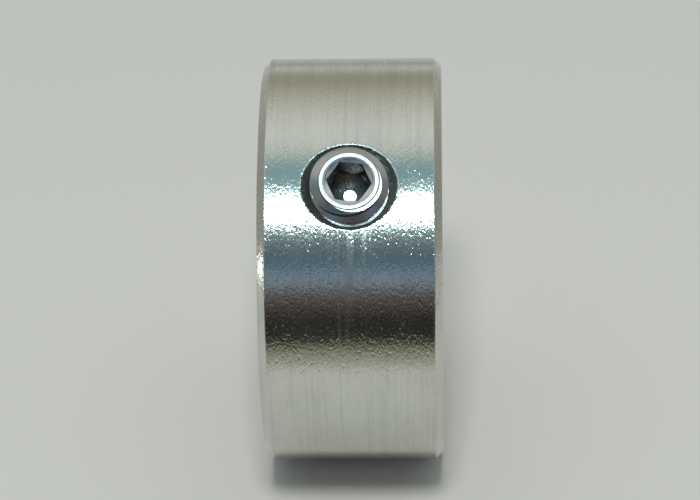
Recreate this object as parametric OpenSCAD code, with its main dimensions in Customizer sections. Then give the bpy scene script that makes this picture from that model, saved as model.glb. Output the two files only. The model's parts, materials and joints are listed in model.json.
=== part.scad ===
// Shaft collar with one set screw: a turned steel ring that is clamped on a shaft
// by a headless hexagon-socket screw in its rim. Millimetres. The bore runs along X,
// the origin is on the bore's axis in the middle of the ring, and +Z is up when the
// collar stands on its rim with the screw towards -Y.

/* [Ring] */
// Diameter of the bore, which is the shaft's nominal size
bore_d = 20; // [16:1:40]
// Thickness of the wall between the bore and the rim
wall = 6; // [5:0.2:12]
// Width of the ring along the shaft
ring_w = 14; // [10:0.5:40]
// Chamfer on the two edges of the rim
rim_chamfer = 0.6; // [0.2:0.1:1.2]
// Chamfer on the two edges of the bore
bore_chamfer = 0.5; // [0.2:0.1:1.2]

/* [Screw hole] */
// Nominal diameter of the thread
thread_d = 6; // [5:0.5:8]
// Angle of the screw's axis above the horizontal
screw_angle = 54; // [0:1:90]
// Gap between the plain hole and the plain screw that stand for the thread
thread_clearance = 0.05; // [0.02:0.01:0.1]
// Width of the countersink around the hole, where the rim is highest
sink_rise = 0.65; // [0.2:0.05:1]
// Included angle of the countersink
sink_angle = 60; // [45:5:120]
// Width of the broken edge where the hole enters the bore, at its narrowest
breakout_chamfer = 0.1; // [0.05:0.05:0.3]

/* [Set screw] */
// How far the screw stands out of the rim as stored
screw_proud = 0.9; // [0.4:0.1:2]
// How far the screw's tip stays short of the bore as stored
tip_gap = 0.9; // [0.2:0.1:1]
// Chamfer on the screw's outer end
end_chamfer = 0.35; // [0.2:0.05:0.5]
// Width of the ledge between that chamfer and the raised ring around the socket
end_ledge = 0.35; // [0.1:0.05:0.5]
// Height of the raised ring, which the forming of the socket leaves
ring_rise = 0.06; // [0.02:0.01:0.15]
// Width of the raised ring's flat top
face_ring = 0.25; // [0.1:0.05:0.4]
// Diameter of the sharp rim of the cup point
cup_d = 3; // [1.5:0.1:3.5]

/* [Socket] */
// Width of the hexagon across its flats
socket_af = 3; // [2:0.5:3.5]
// Depth of the hexagon below the screw's end face
socket_depth = 2.3; // [1.5:0.1:2.6]
// Diameter of the small flat at the bottom of the socket's cone
socket_flat_d = 1.05; // [0.5:0.05:1.4]
// Turn of the hexagon about the screw's axis
socket_turn = -6; // [-30:1:30]

/* [Hidden] */
$fn = 96;
overlap = 0.01;

bore_r = bore_d / 2;
ring_r = bore_r + wall;
hole_r = thread_d / 2;
screw_r = hole_r - thread_clearance;
screw_tip = bore_r + tip_gap;
screw_length = wall + screw_proud - tip_gap;
ledge_r = screw_r - end_chamfer;
face_r = ledge_r - end_ledge;
lead_in_r = face_r - face_ring;
cup_r = cup_d / 2;

// Angles of the cones, measured from the screw's axis
sink_half = sink_angle / 2;
cup_half = 60;
lead_in_half = 45;
socket_cone_half = 45;

// Puts its children on the screw's axis, where z is the distance from the bore's axis
module on_screw_axis() {
    rotate([90 - screw_angle, 0, 0]) children();
}

// Half section of the ring: distance from the axis, then place along the axis
function ring_section() = [
    [bore_r, -ring_w / 2 + bore_chamfer],
    [bore_r + bore_chamfer, -ring_w / 2],
    [ring_r - rim_chamfer, -ring_w / 2],
    [ring_r, -ring_w / 2 + rim_chamfer],
    [ring_r, ring_w / 2 - rim_chamfer],
    [ring_r - rim_chamfer, ring_w / 2],
    [bore_r + bore_chamfer, ring_w / 2],
    [bore_r, ring_w / 2 - bore_chamfer],
];

// The hole through the wall, with its countersink in the rim and its broken inner edge
module screw_hole() {
    sink_h = sink_rise / tan(sink_half);
    cut_top = ring_r + screw_proud;
    cylinder(h = cut_top, r = hole_r);
    translate([0, 0, ring_r - sink_h])
        cylinder(
            h = cut_top - ring_r + sink_h,
            r1 = hole_r,
            r2 = hole_r + (cut_top - ring_r + sink_h) * tan(sink_half)
        );
    // A 45 degree cone breaks the inner edge, widest where the bore curves away
    translate([0, 0, bore_r - hole_r])
        cylinder(
            h = hole_r + breakout_chamfer,
            r1 = 2 * hole_r + breakout_chamfer,
            r2 = hole_r
        );
}

// Turned ring: bore, faces, chamfers, and the hole for the set screw
module collar() {
    color("silver") difference() {
        rotate([0, 90, 0]) rotate_extrude() polygon(ring_section());
        on_screw_axis() screw_hole();
    }
}

// Half section of the screw before its socket is cut: radius, then height above the tip
function screw_section() = [
    [0, cup_r / tan(cup_half)],
    [cup_r, 0],
    [screw_r, screw_r - cup_r],
    [screw_r, screw_length - ring_rise - end_chamfer],
    [ledge_r, screw_length - ring_rise],
    [face_r + ring_rise, screw_length - ring_rise],
    [face_r, screw_length],
    [0, screw_length],
];

// Hexagon socket below z = 0, with the cone that leads into it and its conical bottom
module socket() {
    hex_r = socket_af / 2 / cos(30);
    lead_in_h = lead_in_r / tan(lead_in_half);
    bottom_h = (socket_af - socket_flat_d) / 2 / tan(socket_cone_half);
    rotate([0, 0, socket_turn])
        translate([0, 0, -socket_depth])
            cylinder(h = 2 * socket_depth, r = hex_r, $fn = 6);
    translate([0, 0, -socket_depth - bottom_h])
        cylinder(h = bottom_h + overlap, r1 = socket_flat_d / 2, r2 = socket_af / 2);
    translate([0, 0, -lead_in_h])
        cylinder(h = 2 * lead_in_h, r1 = 0, r2 = 2 * lead_in_r);
}

// Headless screw with a chamfered outer end, a ring around its socket and a cup point
module set_screw() {
    color("lightsteelblue") on_screw_axis() translate([0, 0, screw_tip]) difference() {
        rotate_extrude() polygon(screw_section());
        translate([0, 0, screw_length]) socket();
    }
}

collar();
set_screw();
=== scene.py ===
"""A shaft collar: a turned steel ring on its rim, with a hexagon-socket set screw."""

import json
import math

import bmesh
import bpy
from mathutils import Matrix, Vector


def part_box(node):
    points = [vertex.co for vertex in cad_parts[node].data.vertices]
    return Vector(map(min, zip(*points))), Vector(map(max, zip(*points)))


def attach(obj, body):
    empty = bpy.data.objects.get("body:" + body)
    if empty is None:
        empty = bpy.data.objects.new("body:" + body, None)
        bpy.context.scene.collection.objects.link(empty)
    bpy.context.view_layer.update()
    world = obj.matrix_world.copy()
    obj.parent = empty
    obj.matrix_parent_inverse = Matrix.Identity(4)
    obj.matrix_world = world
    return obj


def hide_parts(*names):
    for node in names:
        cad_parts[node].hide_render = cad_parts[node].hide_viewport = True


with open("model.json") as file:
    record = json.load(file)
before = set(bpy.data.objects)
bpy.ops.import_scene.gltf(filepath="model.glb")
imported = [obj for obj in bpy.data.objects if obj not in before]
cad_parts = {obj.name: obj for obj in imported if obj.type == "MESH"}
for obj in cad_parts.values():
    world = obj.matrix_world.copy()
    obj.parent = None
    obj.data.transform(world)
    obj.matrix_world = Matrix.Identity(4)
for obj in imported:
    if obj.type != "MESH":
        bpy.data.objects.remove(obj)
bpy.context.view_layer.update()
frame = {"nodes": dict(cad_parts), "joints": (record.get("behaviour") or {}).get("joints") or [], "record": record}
mm = 0.001


# The camera stands in front of the collar and looks down on it, a little from the
# right. The long lens keeps both rim edges nearly parallel.
camera_side = math.radians(2.0)
camera_height = math.radians(33.6)
camera_roll = math.radians(1.5)
camera_distance = 243 * mm
camera_aim_right = -0.4 * mm
camera_aim_up = 0.69 * mm

camera_back = Vector((
    math.sin(camera_side) * math.cos(camera_height),
    -math.cos(camera_side) * math.cos(camera_height),
    math.sin(camera_height),
))
camera_level = Vector((math.cos(camera_side), math.sin(camera_side), 0))
camera_upright = camera_back.cross(camera_level)
roll_cos, roll_sin = math.cos(camera_roll), math.sin(camera_roll)
camera_right = camera_level * roll_cos - camera_upright * roll_sin
camera_up = camera_level * roll_sin + camera_upright * roll_cos
aim = camera_right * camera_aim_right + camera_up * camera_aim_up

camera = bpy.data.objects.new("camera", bpy.data.cameras.new("camera"))
bpy.context.scene.collection.objects.link(camera)
camera.data.lens = 156
camera.data.sensor_width = 36
camera.data.clip_start = 0.01
camera.location = aim + camera_back * camera_distance
camera.rotation_mode = "QUATERNION"
camera.rotation_quaternion = Matrix(
    (camera_right, camera_up, camera_back)
).transposed().to_quaternion()
bpy.context.scene.camera = camera
bpy.context.scene.view_settings.view_transform = "Standard"


# The ring is turned from bar: rim, two faces, bore, and small chamfers on its four
# edges. Its wall is then drilled, countersunk and tapped for the set screw.
joint_axis = Vector(frame["joints"][0]["axis"]).normalized()
screw_tilt = math.atan2(-joint_axis.y, joint_axis.z)
mounts = {mount["name"]: mount for mount in frame["record"]["mounts"]}
ring_low, ring_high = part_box("collar")

ring_r = ring_high.z
bore_r = mounts["shaft_bore"]["dims"]["r_mm"] * mm
half_w = (ring_high.x - ring_low.x) / 2
rim_chamfer = 0.6 * mm
bore_chamfer = 0.5 * mm
burr = 0.12 * mm
edge_break = 0.05 * mm
pitch = 1.0 * mm
thread_r = 3.0 * mm
thread_depth = 0.65 * pitch
tapped_r = 2.46 * mm
thread_gap = 0.03 * mm
thread_start = 0.57
sink_rise = 0.65 * mm
sink_half_angle = math.radians(30)
breakout_rise = 0.1 * mm
sharp_angle = math.radians(28)
ring_columns = 360
window_columns = 24
window_x = half_w - rim_chamfer - 2 * edge_break
face_rows = 10
arc_rows = 4
thread_rows = 16
grain_stretch = 2


class Rule:
    """A number inside a node tree, so that the rule of a shape reads as arithmetic."""

    def __init__(self, tree, socket):
        self.tree = tree
        self.socket = socket

    def __add__(self, other):
        return worked_out(self.tree, "ADD", self, other)

    def __sub__(self, other):
        return worked_out(self.tree, "SUBTRACT", self, other)

    def __mul__(self, other):
        return worked_out(self.tree, "MULTIPLY", self, other)

    def __truediv__(self, other):
        return worked_out(self.tree, "DIVIDE", self, other)

    def __radd__(self, other):
        return worked_out(self.tree, "ADD", other, self)

    def __rsub__(self, other):
        return worked_out(self.tree, "SUBTRACT", other, self)

    def __rmul__(self, other):
        return worked_out(self.tree, "MULTIPLY", other, self)

    def __rtruediv__(self, other):
        return worked_out(self.tree, "DIVIDE", other, self)

    def does(self, operation, *others):
        """Any other step of arithmetic, by its name in Blender."""
        return worked_out(self.tree, operation, self, *others)


def plug(tree, value, socket):
    """Puts a rule, another socket's value or a plain value into a socket."""
    if isinstance(value, Rule):
        tree.links.new(value.socket, socket)
    elif isinstance(value, bpy.types.NodeSocket):
        tree.links.new(value, socket)
    else:
        socket.default_value = value


def worked_out(tree, operation, *values):
    """One step of arithmetic in a node tree."""
    node = tree.nodes.new("ShaderNodeMath")
    node.operation = operation
    for value, socket in zip(values, node.inputs):
        plug(tree, value, socket)
    return Rule(tree, node.outputs[0])


def between(start, end, share):
    """A value, or a rule, part of the way from start to end."""
    return start + (end - start) * share


def packed(tree, x, y, z):
    """Three rules or numbers as one vector."""
    node = tree.nodes.new("ShaderNodeCombineXYZ")
    for value, socket in zip((x, y, z), node.inputs):
        plug(tree, value, socket)
    return Rule(tree, node.outputs[0])


def parted(tree, vector):
    """The three numbers of a vector."""
    node = tree.nodes.new("ShaderNodeSeparateXYZ")
    plug(tree, vector, node.inputs[0])
    return [Rule(tree, socket) for socket in node.outputs]


def shape_tree(name, sizes):
    """A geometry tree with one named input for each size, and a material."""
    tree = bpy.data.node_groups.new(name, "GeometryNodeTree")
    tree.interface.new_socket("Geometry", in_out="INPUT", socket_type="NodeSocketGeometry")
    for label, value in sizes.items():
        socket = tree.interface.new_socket(label, in_out="INPUT", socket_type="NodeSocketFloat")
        socket.default_value = value
    tree.interface.new_socket("Material", in_out="INPUT", socket_type="NodeSocketMaterial")
    tree.interface.new_socket("Geometry", in_out="OUTPUT", socket_type="NodeSocketGeometry")
    entry = tree.nodes.new("NodeGroupInput")
    rules = {label: Rule(tree, entry.outputs[label]) for label in sizes}
    return tree, entry, rules


def grid_place(tree):
    """How far round and how far along its strip a point of any grid is, from 0 to 1."""
    position = tree.nodes.new("GeometryNodeInputPosition")
    x, y = parted(tree, position.outputs[0])[:2]
    return x + 0.5, y + 0.5


def strip(tree, columns, rows, x, y, z):
    """A strip of quads whose points go where the three rules say."""
    grid = tree.nodes.new("GeometryNodeMeshGrid")
    grid.inputs["Size X"].default_value = 1
    grid.inputs["Size Y"].default_value = 1
    grid.inputs["Vertices X"].default_value = columns + 1
    grid.inputs["Vertices Y"].default_value = rows + 1
    move = tree.nodes.new("GeometryNodeSetPosition")
    tree.links.new(grid.outputs["Mesh"], move.inputs["Geometry"])
    plug(tree, packed(tree, x, y, z), move.inputs["Position"])
    return move.outputs[0]


def outline_row(tree, entry, along, last_row, name=None):
    """What the outline says at the row that a point of the grid is on."""
    if name is None:
        source = tree.nodes.new("GeometryNodeInputPosition")
        kind = "FLOAT_VECTOR"
    else:
        source = tree.nodes.new("GeometryNodeInputNamedAttribute")
        source.data_type = kind = "FLOAT"
        source.inputs["Name"].default_value = name
    sample = tree.nodes.new("GeometryNodeSampleIndex")
    sample.data_type = kind
    tree.links.new(entry.outputs["Geometry"], sample.inputs["Geometry"])
    tree.links.new(source.outputs[0], sample.inputs["Value"])
    plug(tree, (along * last_row).does("ROUND"), sample.inputs["Index"])
    if name is None:
        return parted(tree, sample.outputs[0])[:2]
    return Rule(tree, sample.outputs[0])


def thread_drop(height, turn, start, step):
    """How far below its crest a right-hand 60 degree thread is at a height and a turn."""
    crest_flat = step / 8
    from_crest = ((height / step - turn + start).does("FRACT") - 0.5).does("ABSOLUTE") * step
    return ((from_crest - crest_flat / 2) * math.tan(math.radians(60))).does("MAXIMUM", 0)


def weld_and_finish(tree, entry, parts, tilt):
    """Joins the strips into one closed skin, turns it into place and gives it its finish."""
    join = tree.nodes.new("GeometryNodeJoinGeometry")
    for part in parts:
        tree.links.new(part, join.inputs[0])
    weld = tree.nodes.new("GeometryNodeMergeByDistance")
    weld.inputs["Distance"].default_value = 0.0005 * mm
    move = tree.nodes.new("GeometryNodeTransform")
    plug(tree, packed(tree, tilt, 0.0, 0.0), move.inputs["Rotation"])
    smooth = tree.nodes.new("GeometryNodeSetShadeSmooth")
    realize = tree.nodes.new("GeometryNodeRealizeInstances")
    coat = tree.nodes.new("GeometryNodeSetMaterial")
    tree.links.new(entry.outputs["Material"], coat.inputs["Material"])
    end = tree.nodes.new("NodeGroupOutput")
    chain = (join, weld, move, smooth, realize, coat, end)
    for before, after in zip(chain, chain[1:]):
        tree.links.new(before.outputs[0], after.inputs[0])


def shaped(name, outline, tree, sizes, material):
    """Runs a tree on an outline, with its marks as attributes, and keeps the plain mesh."""
    drawing = bpy.data.meshes.new(name + "_outline")
    drawing.from_pydata([(row[0], row[1], 0) for row in outline], [], [])
    for index, label in enumerate(("hexagon", "lip", "thread"), 2):
        values = [row[index] if len(row) > index else 0 for row in outline]
        drawing.attributes.new(label, "FLOAT", "POINT").data.foreach_set("value", values)
    holder = bpy.data.objects.new(name + "_outline", drawing)
    bpy.context.scene.collection.objects.link(holder)
    modifier = holder.modifiers.new("shape", "NODES")
    modifier.node_group = tree
    for item in tree.interface.items_tree:
        if item.in_out == "INPUT" and item.name in sizes:
            modifier[item.identifier] = sizes[item.name]
        if item.in_out == "INPUT" and item.name == "Material":
            modifier[item.identifier] = material
    graph = bpy.context.evaluated_depsgraph_get()
    mesh = bpy.data.meshes.new_from_object(holder.evaluated_get(graph), depsgraph=graph)
    bpy.data.objects.remove(holder)
    mesh.name = name
    work = bmesh.new()
    work.from_mesh(mesh)
    bmesh.ops.recalc_face_normals(work, faces=work.faces)
    work.to_mesh(mesh)
    work.free()
    mesh.set_sharp_from_angle(angle=sharp_angle)
    piece = bpy.data.objects.new(name, mesh)
    bpy.context.scene.collection.objects.link(piece)
    return piece


def rounded_corner(before, corner, after, size, steps):
    """Points of a small quadratic arc that takes the place of a sharp corner."""
    def towards(end):
        """The corner, moved a little towards one of its neighbours."""
        length = math.dist(corner, end)
        return [c + (e - c) * size / length for c, e in zip(corner, end)]
    start, end = towards(before), towards(after)
    points = []
    for step in range(steps + 1):
        t = step / steps
        points.append(tuple(
            a * (1 - t) ** 2 + 2 * c * t * (1 - t) + b * t * t
            for a, c, b in zip(start, corner, end)
        ))
    return points


def spread(start, end, rows):
    """Points in equal steps from start up to, but without, end."""
    return [
        tuple(a + (b - a) * row / rows for a, b in zip(start, end))
        for row in range(rows)
    ]


def ring_outline():
    """Closed section of the ring as (radius, place along the bore)."""
    corners = [
        (ring_r, half_w - rim_chamfer),
        (ring_r - rim_chamfer, half_w),
        (bore_r + bore_chamfer, half_w),
        (bore_r, half_w - bore_chamfer),
    ]
    corners += [(r, -x) for r, x in reversed(corners)]
    columns = 2 * window_columns
    points = spread((ring_r, -window_x), (ring_r, window_x), columns)
    points.append((ring_r, window_x))
    for index, corner in enumerate(corners):
        if index == 4:
            points += spread((bore_r, window_x), (bore_r, -window_x), columns)
            points.append((bore_r, -window_x))
        ahead = corners[(index + 1) % len(corners)]
        arc = rounded_corner(corners[index - 1], corner, ahead, edge_break, arc_rows)
        points += arc
        if index in (1, 5):
            beyond = corners[(index + 2) % len(corners)]
            next_arc = rounded_corner(corner, ahead, beyond, edge_break, arc_rows)
            points += spread(arc[-1], next_arc[0], face_rows)[1:]
    points.append((ring_r, -window_x))
    return points


def noise(tree, vector, turn=None, scale=1.0, detail=2.0, rough=0.5):
    """Noise from 0 to 1 at a vector, with a fourth coordinate where one is given."""
    node = tree.nodes.new("ShaderNodeTexNoise")
    node.noise_dimensions = "3D" if turn is None else "4D"
    node.inputs["Scale"].default_value = scale
    node.inputs["Detail"].default_value = detail
    node.inputs["Roughness"].default_value = rough
    plug(tree, vector, node.inputs["Vector"])
    if turn is not None:
        plug(tree, turn, node.inputs["W"])
    return Rule(tree, node.outputs[0])


def ring_tree(last_row):
    """The turned section, with a window in rim and bore for the skin of the screw hole."""
    sizes = {
        "Ring radius": ring_r,
        "Bore radius": bore_r,
        "Thread radius": thread_r,
        "Thread depth": thread_depth,
        "Tapped radius": tapped_r,
        "Thread gap": thread_gap,
        "Pitch": pitch,
        "Thread start": thread_start,
        "Countersink rise": sink_rise,
        "Breakout rise": breakout_rise,
        "Edge break": edge_break,
        "Burr": burr,
        "Screw tilt": screw_tilt,
    }
    tree, entry, size = shape_tree("turned ring with a tapped hole", sizes)
    turn, along = grid_place(tree)
    full = 2 * math.pi
    window_angle = full * window_columns / ring_columns

    # The section turned about the bore, less the two windows
    radius, x = outline_row(tree, entry, along, last_row)
    around = turn * full
    turned = strip(
        tree, ring_columns, last_row,
        x, radius * around.does("SINE"), radius * around.does("COSINE"),
    )
    place = tree.nodes.new("GeometryNodeInputPosition")
    here_x, here_y, here_z = parted(tree, place.outputs[0])
    in_width = here_x.does("ABSOLUTE").does("LESS_THAN", window_x)
    in_angle = here_y.does("ARCTAN2", here_z).does("ABSOLUTE").does("LESS_THAN", window_angle)
    cut = tree.nodes.new("GeometryNodeDeleteGeometry")
    cut.domain = "FACE"
    tree.links.new(turned, cut.inputs[0])
    plug(tree, in_width * in_angle, cut.inputs["Selection"])
    parts = [cut.outputs[0]]

    # Spokes round the screw's axis. Two zigzags, clipped at 1, are the window's square edge
    spoke = turn * full
    spoke_cos, spoke_sin = spoke.does("COSINE"), spoke.does("SINE")
    edge_x = (2 - (turn * 8).does("PINGPONG", 4)).does("MAXIMUM", -1).does("MINIMUM", 1)
    edge_y = (2 - (turn * 8 + 6).does("PINGPONG", 4)).does("MAXIMUM", -1).does("MINIMUM", 1)
    columns = 8 * window_columns

    # Where the countersink's cone meets the rim, and the breakout's cone the bore
    slope = math.tan(sink_half_angle)
    lean = spoke_sin * spoke_sin * slope ** 2 + 1
    wall, bore, hole = size["Ring radius"], size["Bore radius"], size["Thread radius"]
    sink_start = hole + size["Countersink rise"] - wall * slope
    under = sink_start * sink_start - lean * (sink_start * sink_start - wall * wall * slope ** 2)
    mouth_r = (sink_start + under.does("SQRT")) / lean
    out_start = hole + size["Breakout rise"] + bore * slope
    under = out_start * out_start - lean * (out_start * out_start - bore * bore * slope ** 2)
    inner_r = (out_start - under.does("SQRT")) / lean
    inner_z = (out_start - inner_r) / slope

    def on_cylinder(radius, hole_radius, share):
        """Points between the hole's edge and the window's edge, on the rim or the bore."""
        edge_angle = ((hole_radius * spoke_sin) / radius).does("ARCSINE")
        x = between(hole_radius * spoke_cos, edge_x * window_x, share)
        angle = between(edge_angle, edge_y * window_angle, share)
        return x, radius * angle.does("SINE"), radius * angle.does("COSINE")

    def round_screw(radius, z):
        """Points round the screw's axis."""
        return radius * spoke_cos, radius * spoke_sin, z

    # The countersink's edge is ragged where the drill has torn the turned rim
    tears = 14
    round_edge = packed(tree, spoke_cos * tears, spoke_sin * tears, 0.0)
    mouth_r = mouth_r + (noise(tree, round_edge, detail=2, rough=0.7) - 0.5) * size["Burr"] * 2
    burrs = noise(tree, round_edge, scale=1.9, detail=1) - 0.38
    mouth_break = size["Edge break"] + burrs.does("MAXIMUM", 0) * size["Burr"] * 3

    # Rim patch, whose rows crowd towards the mouth, then the rounded mouth and countersink
    rim_rows, sink_rows, crowding = 16, 8, 1.7
    out_r = mouth_r + mouth_break
    parts.append(strip(
        tree, columns, rim_rows, *on_cylinder(wall, out_r, along.does("POWER", crowding))
    ))
    start = on_cylinder(wall, out_r, 0)
    mouth = on_cylinder(wall, mouth_r, 0)
    below_r = mouth_r - mouth_break * math.sin(sink_half_angle)
    below = round_screw(below_r, mouth[2] - mouth_break * math.cos(sink_half_angle))
    back = 1 - along
    parts.append(strip(tree, columns, arc_rows, *(
        a * back * back + c * along * back * 2 + b * along * along
        for a, c, b in zip(start, mouth, below)
    )))
    sink_z = wall - size["Countersink rise"] / slope
    parts.append(strip(tree, columns, sink_rows, *(
        between(a, b, along) for a, b in zip(below, round_screw(hole, sink_z))
    )))

    # The tapped wall, cut back by the countersink above and the breakout below
    turns = math.ceil((ring_r - bore_r) / pitch) + 2
    height = bore - pitch * 1.5 + (along * turns + turn - size["Thread start"]) * size["Pitch"]
    height = height.does("MAXIMUM", inner_z).does("MINIMUM", sink_z)
    drop = thread_drop(height, turn, size["Thread start"], size["Pitch"])
    tapped = hole + size["Thread gap"] - drop.does("MINIMUM", size["Thread depth"])
    tapped = tapped.does("MAXIMUM", size["Tapped radius"]).does("MINIMUM", hole)
    tapped = tapped.does("MAXIMUM", sink_start + height * slope)
    tapped = tapped.does("MAXIMUM", out_start - height * slope)
    parts.append(strip(tree, columns, turns * thread_rows, *round_screw(tapped, height)))

    # Bore patch
    bore_rows = 8
    parts.append(strip(tree, columns, bore_rows, *on_cylinder(bore, inner_r, along)))
    weld_and_finish(tree, entry, parts, size["Screw tilt"])
    return tree, sizes


def effect_group(name, inputs, outputs):
    """An empty shader group whose sockets are plain numbers or vectors."""
    group = bpy.data.node_groups.new(name, "ShaderNodeTree")
    for label, value in inputs.items():
        kind = "NodeSocketFloat" if isinstance(value, (int, float)) else "NodeSocketVector"
        socket = group.interface.new_socket(label, in_out="INPUT", socket_type=kind)
        socket.default_value = value
    for label in outputs:
        group.interface.new_socket(label, in_out="OUTPUT", socket_type="NodeSocketFloat")
    entry = group.nodes.new("NodeGroupInput")
    end = group.nodes.new("NodeGroupOutput")
    return group, {label: Rule(group, entry.outputs[label]) for label in inputs}, end


def about_axis(tree, rotation):
    """Height along a turned part's axis, distance from it, and the cosine and sine round it."""
    where = tree.nodes.new("ShaderNodeTexCoord")
    turned = tree.nodes.new("ShaderNodeMapping")
    turned.inputs["Rotation"].default_value = rotation
    tree.links.new(where.outputs["Object"], turned.inputs["Vector"])
    x, y, height = parted(tree, turned.outputs[0])
    radius = (x * x + y * y).does("SQRT")
    return height, radius, x / radius, y / radius, Rule(tree, where.outputs["Object"])


def placed(tree, group, values):
    """A shader group placed in a material with its own values, as a dictionary of rules."""
    node = tree.nodes.new("ShaderNodeGroup")
    node.node_tree = group
    for label, value in values.items():
        plug(tree, value, node.inputs[label])
    return {socket.name: Rule(tree, socket) for socket in node.outputs}


def smooth_step(tree, value, low, high):
    """0 below one value and 1 above another, with a soft change between them."""
    node = tree.nodes.new("ShaderNodeMapRange")
    node.interpolation_type = "SMOOTHSTEP"
    plug(tree, value, node.inputs["Value"])
    plug(tree, low, node.inputs["From Min"])
    plug(tree, high, node.inputs["From Max"])
    return Rule(tree, node.outputs[0])


def at_size(tree, vector, size):
    """A place measured in steps of one size, for noise with features of that size."""
    node = tree.nodes.new("ShaderNodeVectorMath")
    node.operation = "SCALE"
    plug(tree, vector, node.inputs[0])
    plug(tree, 1 / size, node.inputs["Scale"])
    return Rule(tree, node.outputs[0])


def turning_lines_group():
    """Fine grooves that a lathe tool leaves round a part, and broader bands of them."""
    group, value, end = effect_group("turning lines", {
        "Along": 0.0, "Radius": 0.0, "Cosine": 1.0, "Sine": 0.0, "Line width": 0.08 * mm,
    }, ("Height", "Bands"))
    width = value["Line width"]
    change_round, band_share, band_seed = 1.5, 0.22, 7
    along, radius = value["Along"] / width, value["Radius"] / width
    fine = packed(group, along, radius, value["Cosine"] * change_round)
    lines = noise(group, fine, value["Sine"] * change_round, detail=3, rough=0.6)
    plug(group, lines, end.inputs["Height"])
    broad = packed(group, along * band_share, radius * band_share, value["Cosine"])
    bands = noise(group, broad, value["Sine"] + band_seed, detail=2)
    plug(group, smooth_step(group, bands, 0.48, 0.66), end.inputs["Bands"])
    return group


def speckle_group():
    """The uneven, slightly pitted grain of a tumbled or wiped surface."""
    group, value, end = effect_group("speckle", {
        "Place": (0.0, 0.0, 0.0), "Turn": 0.0, "Grain": 0.1 * mm, "Spread": 1.2 * mm,
    }, ("Height", "Pits", "Dull"))
    spot, turn = at_size(group, value["Place"], value["Grain"]), value["Turn"] / value["Grain"]
    grain = noise(group, spot, turn, detail=1.5, rough=0.55)
    plug(group, grain, end.inputs["Height"])
    sparse = noise(group, spot, turn, scale=0.7, detail=0)
    plug(group, smooth_step(group, sparse, 0.64, 0.78), end.inputs["Pits"])
    patch = at_size(group, value["Place"], value["Spread"])
    dull = noise(group, patch, detail=3, rough=0.7) * 0.6 + grain * 0.4
    plug(group, smooth_step(group, dull, 0.42, 0.62), end.inputs["Dull"])
    return group


def scratches_group():
    """Short straight marks from handling, at one angle to the turning lines."""
    group, value, end = effect_group("scratches", {
        "Along": 0.0, "Around": 0.0, "Angle": 0.4, "Length": 2 * mm, "Width": 0.03 * mm, "Seed": 0.0,
    }, ("Mark",))
    cosine, sine = value["Angle"].does("COSINE"), value["Angle"].does("SINE")
    lengthways = value["Along"] * cosine + value["Around"] * sine
    crossways = value["Around"] * cosine - value["Along"] * sine
    spot = packed(group, lengthways / value["Length"], crossways / value["Width"], value["Seed"])
    plug(group, smooth_step(group, noise(group, spot, detail=0), 0.81, 0.86), end.inputs["Mark"])
    return group


def edge_wear_group():
    """Bright, rounded and nicked metal within a small distance of an edge."""
    group, value, end = effect_group("edge wear", {
        "Place": (0.0, 0.0, 0.0), "Distance": 1.0, "Reach": 0.08 * mm,
    }, ("Worn", "Nick"))
    spot = at_size(group, value["Place"], value["Reach"])
    uneven = noise(group, spot, scale=0.5, detail=2) * 2.4
    near = value["Distance"] / (value["Reach"] * uneven)
    plug(group, 1 - smooth_step(group, near, 0.35, 1.0), end.inputs["Worn"])
    sparse = noise(group, spot, scale=0.16, detail=1)
    nick = smooth_step(group, sparse, 0.66, 0.74) * (1 - smooth_step(group, near, 0.6, 1.6))
    plug(group, nick, end.inputs["Nick"])
    return group


def tinted(tree, base, other, share):
    """A colour that goes from one to another. Either may be a plain colour or a socket."""
    mix = tree.nodes.new("ShaderNodeMix")
    mix.data_type = "RGBA"
    plug(tree, share, mix.inputs["Factor"])
    for colour, socket in ((base, mix.inputs["A"]), (other, mix.inputs["B"])):
        plug(tree, colour + (1,) if isinstance(colour, tuple) else colour, socket)
    return Rule(tree, mix.outputs["Result"])


def metal(name):
    """A new metal's material, its tree and its shader."""
    material = bpy.data.materials.new(name)
    material.use_nodes = True
    shader = material.node_tree.nodes["Principled BSDF"]
    shader.inputs["Metallic"].default_value = 1
    return material, material.node_tree, shader


def finished(tree, shader, colour, rough, relief):
    """Gives a metal its colour, its roughness and a relief in metres."""
    plug(tree, colour, shader.inputs["Base Color"])
    plug(tree, rough, shader.inputs["Roughness"])
    bump = tree.nodes.new("ShaderNodeBump")
    bump.inputs["Distance"].default_value = 1
    plug(tree, relief, bump.inputs["Height"])
    tree.links.new(bump.outputs[0], shader.inputs["Normal"])


turning_lines = turning_lines_group()
speckle = speckle_group()
scratches = scratches_group()
edge_wear = edge_wear_group()


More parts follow.
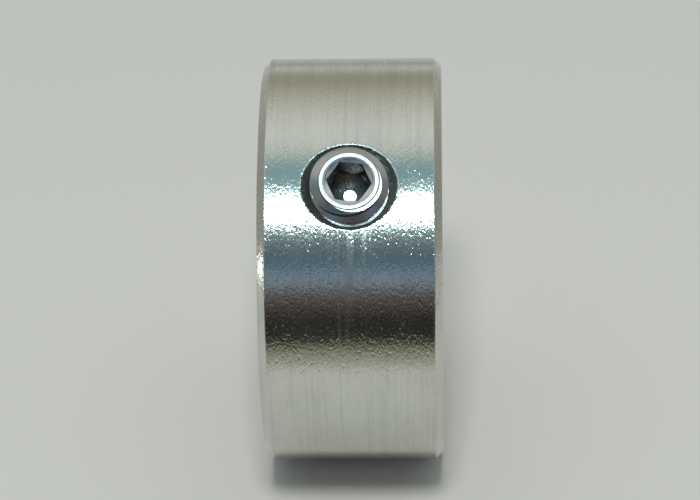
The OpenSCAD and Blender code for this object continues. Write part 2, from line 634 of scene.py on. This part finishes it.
def turned_steel():
    """Bright turned stainless steel: blurred along the bore, sharp round it."""
    material, tree, shader = metal("turned steel")
    shader.inputs["Anisotropic"].default_value = 0.5
    shader.inputs["Anisotropic Rotation"].default_value = 0.25
    tangent = tree.nodes.new("ShaderNodeTangent")
    tangent.direction_type = "RADIAL"
    tangent.axis = "X"
    tree.links.new(tangent.outputs[0], shader.inputs["Tangent"])

    # Turning lines, whose bands are plainest round the middle of the rim
    along, radius, cosine, sine, place = about_axis(tree, (0, -math.pi / 2, 0))
    lines = placed(tree, turning_lines, {
        "Along": along, "Radius": radius, "Cosine": cosine, "Sine": sine,
        "Line width": 0.07 * mm,
    })
    half = along.does("ABSOLUTE")
    middle = 1 - smooth_step(tree, half, 0.8 * mm, 2.6 * mm)
    streak = lines["Bands"] * (middle * 0.8 + 0.2)

    # Grain that is stretched round the ring
    stretched = ring_r / grain_stretch
    grain = placed(tree, speckle, {
        "Place": packed(tree, along, radius, cosine * stretched), "Turn": sine * stretched,
        "Grain": 0.12 * mm, "Spread": 1.1 * mm,
    })

    # Scratches at two angles
    around = sine.does("ARCTAN2", cosine) * ring_r
    first, second = (placed(tree, scratches, {
        "Along": along, "Around": around, "Angle": angle, "Seed": seed,
        "Length": 2.6 * mm, "Width": 0.05 * mm,
    })["Mark"] for angle, seed in ((0.35, 1.3), (1.2, 6.1)))
    mark = first.does("MAXIMUM", second)

    # The countersink, left rougher by its cutter, and the distance to its edge
    depth, reach = about_axis(tree, (-screw_tilt, 0, 0))[:2]
    mouth_r = thread_r + sink_rise + (depth - ring_r) * math.tan(sink_half_angle)
    drilled = 1 - smooth_step(tree, reach, mouth_r, mouth_r + 2 * edge_break)
    edge_distance = (reach - mouth_r).does("ABSOLUTE").does("MAXIMUM", ring_r - radius)

    # Wear on that edge and on the four edges of the ring's section
    for edge_x, edge_r in (
        (half_w - rim_chamfer, ring_r), (half_w, ring_r - rim_chamfer),
        (half_w, bore_r + bore_chamfer), (half_w - bore_chamfer, bore_r),
    ):
        out, up = half - edge_x, radius - edge_r
        edge_distance = edge_distance.does("MINIMUM", (out * out + up * up).does("SQRT"))
    wear = placed(tree, edge_wear, {"Place": place, "Distance": edge_distance, "Reach": 0.09 * mm})

    # What each effect does to the colour, the roughness and the relief
    light_steel, dark_steel = (0.72, 0.72, 0.665), (0.54, 0.54, 0.49)
    tone = lines["Height"] * 0.5 + lines["Bands"] * 0.25 + grain["Dull"] * 0.25
    colour = tinted(tree, light_steel, dark_steel, tone * (1 - drilled))
    clean_rough, streak_rough, dull_rough, mark_rough = 0.152, 0.11, 0.05, 0.06
    drilled_rough, worn_rough, nick_rough = 0.16, 0.08, 0.15
    rough = clean_rough + streak * streak_rough + grain["Dull"] * dull_rough
    rough = rough + mark * mark_rough + drilled * drilled_rough
    rough = rough + wear["Worn"] * worn_rough + wear["Nick"] * nick_rough
    line_height, grain_height, pit_depth = 0.0025 * mm, 0.022 * mm, 0.009 * mm
    mark_depth, nick_depth = 0.001 * mm, 0.008 * mm
    relief = lines["Height"] * line_height + grain["Height"] * grain_height
    relief = relief - grain["Pits"] * pit_depth - mark * mark_depth
    finished(tree, shader, colour, rough, relief - wear["Nick"] * nick_depth)
    return material


outline = ring_outline()
tree, sizes = ring_tree(len(outline) - 1)
ring = shaped("collar_ring", outline, tree, sizes, turned_steel())
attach(ring, "collar")
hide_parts("collar")


# The set screw is headless: a threaded steel pin with a hexagon socket in its outer
# end and a hardened cup point at its tip, which bites into the shaft.
screw_points = [joint_axis.dot(v.co) for v in frame["nodes"]["set_screw"].data.vertices]
screw_top = max(screw_points)
screw_tip = min(screw_points)
screw_columns = 192
screw_length = screw_top - screw_tip
screw_r = 2.97 * mm
root_r = 2.32 * mm
ledge_r = 2.60 * mm
face_r = 2.25 * mm
lead_in_r = 2.00 * mm
ring_rise = 0.06 * mm
lead_in_slope = math.tan(math.radians(30))
socket_half = 1.5 * mm
socket_depth = 2.3 * mm
socket_flat_r = 0.525 * mm
socket_turn = math.radians(-6)
past_corners_r = 1.74 * mm
cup_r = 1.5 * mm
cup_depth = cup_r / math.tan(math.radians(60))
screw_break = 0.03 * mm
screw_arc_rows = 3
cone_rows = 6
wall_rows = 10


def screw_outline():
    """Half section as (radius, height, hexagon, lip, thread), from socket to cup."""
    cone_top = (socket_half, -socket_depth)
    cone_foot = (socket_flat_r, -socket_depth - (socket_half - socket_flat_r))
    middle = (0, cone_foot[1])
    lip = (socket_half, (socket_half - lead_in_r) * lead_in_slope)
    mouth = (lead_in_r, 0)
    face = (face_r, 0)
    step_foot = (face_r + ring_rise, -ring_rise)
    rows = [middle, (socket_flat_r * 0.5, middle[1])]
    rows += rounded_corner(middle, cone_foot, cone_top, screw_break, screw_arc_rows)
    rows += spread(rows[-1], cone_top, cone_rows)[1:]
    rows += [cone_top]

    # A hexagonal wall, whose upper edge is where it meets the cone of the lead-in
    rows += [cone_top + (1, 0)]
    rows += [point + (1, row / wall_rows)
             for row, point in enumerate(spread(cone_top, lip, wall_rows)) if row]
    rows += [point + (1, 1)
             for point in rounded_corner(cone_top, lip, mouth, screw_break, screw_arc_rows)]
    rows += [point + (1 - row / cone_rows, 1 - row / cone_rows)
             for row, point in enumerate(spread(lip, mouth, cone_rows)) if row]

    # The raised ring, its step, and the ledge that the thread leaves of the end face
    rows += rounded_corner(lip, mouth, face, screw_break, screw_arc_rows)
    rows += rounded_corner(mouth, face, step_foot, screw_break, screw_arc_rows)
    rows += [step_foot]
    ledge = [(-2 * screw_break, screw_break), (0, screw_break), (0, -screw_break)]
    rows += [point + (0, 0, 1) for point in rounded_corner(*ledge, screw_break, screw_arc_rows)]

    # The thread, which stops at the ledge above and at the cup's chamfer below
    turns = math.ceil(screw_length / pitch) + 2
    rows += [(0, (1 - row / thread_rows) * pitch, 0, 1, 1)
             for row in range(turns * thread_rows + 1)]
    tip = -screw_length
    cup_middle = (0, tip + cup_depth)
    chamfer = (cup_r + pitch, tip + pitch)
    rows += rounded_corner(chamfer, (cup_r, tip), cup_middle, screw_break, screw_arc_rows)
    rows += spread(rows[-1], cup_middle, cone_rows)[1:]
    rows += [cup_middle]
    return rows


def screw_tree(last_row):
    """The outline turned about the screw's axis, with a hexagon and a helical thread."""
    sizes = {
        "Thread radius": screw_r,
        "Root radius": root_r,
        "Pitch": pitch,
        "Thread start": thread_start,
        "Length": screw_length,
        "Ledge radius": ledge_r,
        "Face radius": face_r,
        "Ring rise": ring_rise,
        "Cup radius": cup_r,
        "Edge break": screw_break,
        "Socket half width": socket_half,
        "Socket turn": socket_turn,
        "Lead-in slope": lead_in_slope,
        "Top": screw_top,
        "Screw tilt": screw_tilt,
    }
    tree, entry, size = shape_tree("set screw", sizes)
    turn, along = grid_place(tree)
    radius, height = outline_row(tree, entry, along, last_row)
    hexagon = outline_row(tree, entry, along, last_row, "hexagon")
    lip = outline_row(tree, entry, along, last_row, "lip")
    threaded = outline_row(tree, entry, along, last_row, "thread")

    # A hexagon's wall is nearest in the middle of each side
    side = math.radians(60)
    off_side = (turn * 6 + 0.5).does("FRACT") - 0.5
    to_wall = size["Socket half width"] * ((off_side * side).does("COSINE").does("POWER", -1) - 1)
    angle = turn * 2 * math.pi + size["Socket turn"] + side / 2
    plain_r = radius + to_wall * hexagon
    plain_z = height + to_wall * lip * size["Lead-in slope"]

    # Thread rows climb with the turn, so that each keeps its place on the thread's form
    share = angle / (2 * math.pi)
    step = size["Pitch"]
    top_share = (size["Top"] / step).does("FRACT")
    climb = height + (share - size["Thread start"]) * step - top_share * step
    low = size["Edge break"] * 0.7 - size["Length"]
    high = (size["Ring rise"] + size["Edge break"]) * -1
    cut = between(high, climb.does("MINIMUM", high).does("MAXIMUM", low), lip)
    drop = thread_drop(size["Top"] + cut, share, size["Thread start"], step)
    crest = size["Thread radius"].does("MINIMUM", size["Ledge radius"] + high - cut)
    crest = crest.does("MINIMUM", size["Cup radius"] + size["Length"] + cut)
    form = (crest - size["Root radius"]).does("MAXIMUM", 0)
    form_r = crest - drop.does("MINIMUM", form)
    ledge_edge = (form_r + radius).does("MAXIMUM", size["Face radius"] + size["Ring rise"] * 1.05)
    flank_r = between(ledge_edge, form_r, lip)
    lifted = cut + between(height, 0, lip)
    final_r = between(plain_r, flank_r, threaded)
    final_z = size["Top"] + between(plain_z, lifted, threaded)
    skin = strip(
        tree, screw_columns, last_row,
        final_r * angle.does("COSINE"), final_r * angle.does("SINE"), final_z,
    )
    weld_and_finish(tree, entry, [skin], size["Screw tilt"])
    return tree, sizes


def screw_steel():
    """Smooth rolled steel, dull on its end face, and darkened by oil and painted shade inside the socket, on the
    thread and under the raised ring.
    """
    material, tree, shader = metal("screw steel")
    along, radius, cosine, sine, place = about_axis(tree, (-screw_tilt, 0, 0))
    lines = placed(tree, turning_lines, {
        "Along": along, "Radius": radius, "Cosine": cosine, "Sine": sine,
        "Line width": 0.05 * mm,
    })
    grain = placed(tree, speckle, {"Place": place, "Grain": 0.08 * mm, "Spread": 0.9 * mm})

    # The socket: its wall, the drill cone at its foot and the small flat in the middle
    depth = screw_top - along
    narrow = 1 - smooth_step(tree, radius, past_corners_r, past_corners_r + 0.06 * mm)
    lead_in = (lead_in_r - radius) * lead_in_slope
    inside = smooth_step(tree, depth - lead_in, 0.01 * mm, 0.03 * mm) * narrow
    cone = smooth_step(tree, depth, socket_depth, socket_depth + 0.1 * mm) * narrow
    flat = 1 - smooth_step(tree, radius, socket_flat_r - 0.025 * mm, socket_flat_r + 0.005 * mm)
    wall = inside * (1 - flat)

    # The outside: end face, the corner under the raised ring, and the thread's flanks
    end_face = 1 - smooth_step(tree, depth, ring_rise, ring_rise + 0.02 * mm)
    end_face = end_face.does("MAXIMUM", flat)
    step = smooth_step(tree, radius, face_r, face_r + 0.02 * mm)
    step = step * (1 - smooth_step(tree, radius, face_r + 0.09 * mm, face_r + 0.13 * mm))
    outside = 1 - narrow
    flank = smooth_step(tree, depth, ring_rise + 0.02 * mm, 2 * ring_rise) * outside
    groove = 1 - smooth_step(tree, radius, root_r, screw_r)
    groove = groove * outside * smooth_step(tree, depth, 0.3 * mm, 0.6 * mm)
    out = radius - face_r
    wear = placed(tree, edge_wear, {
        "Place": place, "Distance": (out * out + depth * depth).does("SQRT"), "Reach": 0.05 * mm,
    })

    # How much each place is darkened by oil and by painted shade, in the socket, on the thread and in the corner
    # under the raised ring, with less of it on the drill cone
    clean_steel, oil_and_shade_steel = (0.74, 0.77, 0.78), (0.16, 0.135, 0.115)
    cone_less_shade, groove_shade, step_shade, flank_shade = 0.45, 0.9, 0.85, 0.56
    oil_and_shade = (wall - cone * cone_less_shade).does("MAXIMUM", groove * groove_shade)
    oil_and_shade = oil_and_shade.does("MAXIMUM", step * step_shade).does("MAXIMUM", flank * flank_shade)
    # The dark colour here is oil and painted shade, laid into the socket, the thread's grooves and flanks and the
    # corner under the raised ring
    colour = tinted(tree, clean_steel, oil_and_shade_steel, oil_and_shade)

    clean_rough, dull_rough, band_rough, worn_rough = 0.08, 0.05, 0.04, 0.05
    face_rough, wall_rough = 0.28, 0.16
    rough = clean_rough + grain["Dull"] * dull_rough + lines["Bands"] * band_rough
    rough = rough + wear["Worn"] * worn_rough + end_face * face_rough + wall * wall_rough
    line_height, grain_height, nick_depth = 0.0012 * mm, 0.005 * mm, 0.003 * mm
    relief = lines["Height"] * line_height + grain["Height"] * grain_height
    finished(tree, shader, colour, rough, relief - wear["Nick"] * nick_depth)
    return material


outline = screw_outline()
tree, sizes = screw_tree(len(outline) - 1)
screw = shaped("set_screw_body", outline, tree, sizes, screw_steel())
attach(screw, "set_screw")
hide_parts("set_screw")


# A plain pale floor under the collar, level with the lowest point of the rim. It
# reaches far past the collar on every side.
floor_half = 2
floor_corners = ((-1, -1), (1, -1), (1, 1), (-1, 1))
floor_mesh = bpy.data.meshes.new("floor")
floor_mesh.from_pydata(
    [(x * floor_half, y * floor_half, -ring_r) for x, y in floor_corners], [], [(0, 1, 2, 3)]
)
floor = bpy.data.objects.new("floor", floor_mesh)
bpy.context.scene.collection.objects.link(floor)
floor_paint = bpy.data.materials.new("pale floor")
floor_paint.use_nodes = True
shader = floor_paint.node_tree.nodes["Principled BSDF"]
shader.inputs["Base Color"].default_value = (0.70, 0.68, 0.65, 1)
shader.inputs["Roughness"].default_value = 0.7
floor_mesh.materials.append(floor_paint)


# Light: a small strong lamp high in front, a small soft box at each side, a sheet of
# painted shade low in front, and a room whose brightness changes above the horizon.
def lamp(name, place, size, power, colour):
    """A square soft box that faces the collar."""
    light = bpy.data.objects.new(name, bpy.data.lights.new(name, "AREA"))
    bpy.context.scene.collection.objects.link(light)
    light.data.size = size
    light.data.energy = power
    light.data.color = colour
    light.location = place
    light.rotation_mode = "QUATERNION"
    light.rotation_quaternion = Vector(place).to_track_quat("Z", "Y")
    light.visible_camera = False
    return light


def graded(tree, value, stops):
    """A colour that changes with a value, through (value, colour) stops."""
    node = tree.nodes.new("ShaderNodeValToRGB")
    plug(tree, value, node.inputs[0])
    elements = node.color_ramp.elements
    while len(elements) < len(stops):
        elements.new(0.5)
    for element, (at, colour) in zip(elements, stops):
        element.position = at
    for element, (at, colour) in zip(elements, stops):
        element.color = colour + (1,)
    return Rule(tree, node.outputs[0])


# The lamp that the floor and the shadow take their light from, and its cooler
# reflection in the metal
main_angle = math.radians(61)
main_distance = 600 * mm
main_place = Vector((0, -math.cos(main_angle), math.sin(main_angle))) * main_distance
lamp("main_lamp", main_place, 110 * mm, 1.7, (1, 1, 0.98)).visible_glossy = False
main_place.x = -25 * mm
lamp("main_gloss", main_place, 108 * mm, 1.85, (0.70, 0.97, 1.05)).visible_diffuse = False

box_place = Vector((-250, -10, -6)) * mm
box_size = 22 * mm
lamp("left_box", box_place, box_size, 0.010, (0.9, 1, 1))
box_place.x = -box_place.x
lamp("right_box", box_place, box_size, 0.001, (1, 1, 1))

# The sheet lies in front and its far end stands up. Only reflections show it. Its colour,
# darker towards the front, is painted shade that the metal reflects.
sheet_near, sheet_far, sheet_rise, sheet_half = 45 * mm, 90 * mm, 8 * mm, 200 * mm
sheet_floor = 0.1 * mm - ring_r
shade_sheet_mesh = bpy.data.meshes.new("shade_sheet")
shade_sheet_mesh.from_pydata([
    (x, -y, z)
    for y, z in ((sheet_near, sheet_floor), (sheet_far, sheet_floor), (sheet_far, sheet_rise))
    for x in (-sheet_half, sheet_half)
], [], [(0, 1, 3, 2), (2, 3, 5, 4)])
shade_sheet = bpy.data.objects.new("shade_sheet", shade_sheet_mesh)
bpy.context.scene.collection.objects.link(shade_sheet)
shade_sheet.visible_camera = False
shade_sheet.visible_shadow = False
shade_sheet.visible_diffuse = False
painted_shade_sheet = bpy.data.materials.new("painted_shade_sheet")
painted_shade_sheet.use_nodes = True
tree = painted_shade_sheet.node_tree
shader = tree.nodes["Principled BSDF"]
place = tree.nodes.new("ShaderNodeTexCoord")
# Painted shade: paler near the collar, dark towards the front and on the standing end
painted_shade_colours = (
    (0.45, (0.50, 0.50, 0.42)),
    (0.60, (0.36, 0.36, 0.28)),
    (0.75, (0.22, 0.22, 0.17)),
    (0.88, (0.05, 0.05, 0.045)),
)
to_front = parted(tree, place.outputs["Object"])[1] * -10
plug(tree, graded(tree, to_front, painted_shade_colours), shader.inputs["Base Color"])
shader.inputs["Roughness"].default_value = 1
shader.inputs["Specular IOR Level"].default_value = 0
shade_sheet_mesh.materials.append(painted_shade_sheet)

world = bpy.data.worlds.new("room")
bpy.context.scene.world = world
world.use_nodes = True
tree = world.node_tree
direction = tree.nodes.new("ShaderNodeTexCoord")
side, depth, rise = parted(tree, direction.outputs["Generated"])

# From the horizon in front, at 0 degrees, over the top to the horizon behind
room_colours = (
    (0, (0.03, 0.03, 0.03)),
    (4, (0.07, 0.05, 0.045)),
    (11, (0.11, 0.09, 0.09)),
    (16, (0.13, 0.13, 0.14)),
    (20, (0.27, 0.33, 0.39)),
    (25, (0.21, 0.31, 0.41)),
    (31, (0.08, 0.14, 0.205)),
    (40, (0.12, 0.18, 0.21)),
    (60, (0.30, 0.33, 0.34)),
    (84, (0.22, 0.40, 0.47)),
    (91, (0.36, 0.50, 0.50)),
    (97, (0.66, 0.73, 0.69)),
    (108, (0.75, 0.79, 0.79)),
    (120, (0.70, 0.73, 0.70)),
    (138, (0.55, 0.54, 0.48)),
    (156, (0.35, 0.35, 0.27)),
    (165, (0.36, 0.36, 0.30)),
    (172, (0.55, 0.55, 0.50)),
    (180, (0.62, 0.62, 0.58)),
)
height = rise.does("ARCTAN2", depth * -1) / math.pi
room = graded(tree, height, [(angle / 180, colour) for angle, colour in room_colours])

# Its side walls are one grey, and blend into the rest
side_start, side_blend = 0.6, 0.3
share = (side.does("ABSOLUTE") - side_start) / side_blend
share = share.does("MAXIMUM", 0).does("MINIMUM", 1)
room = tinted(tree, room, (0.34, 0.34, 0.32), share)
plug(tree, room, tree.nodes["Background"].inputs[0])
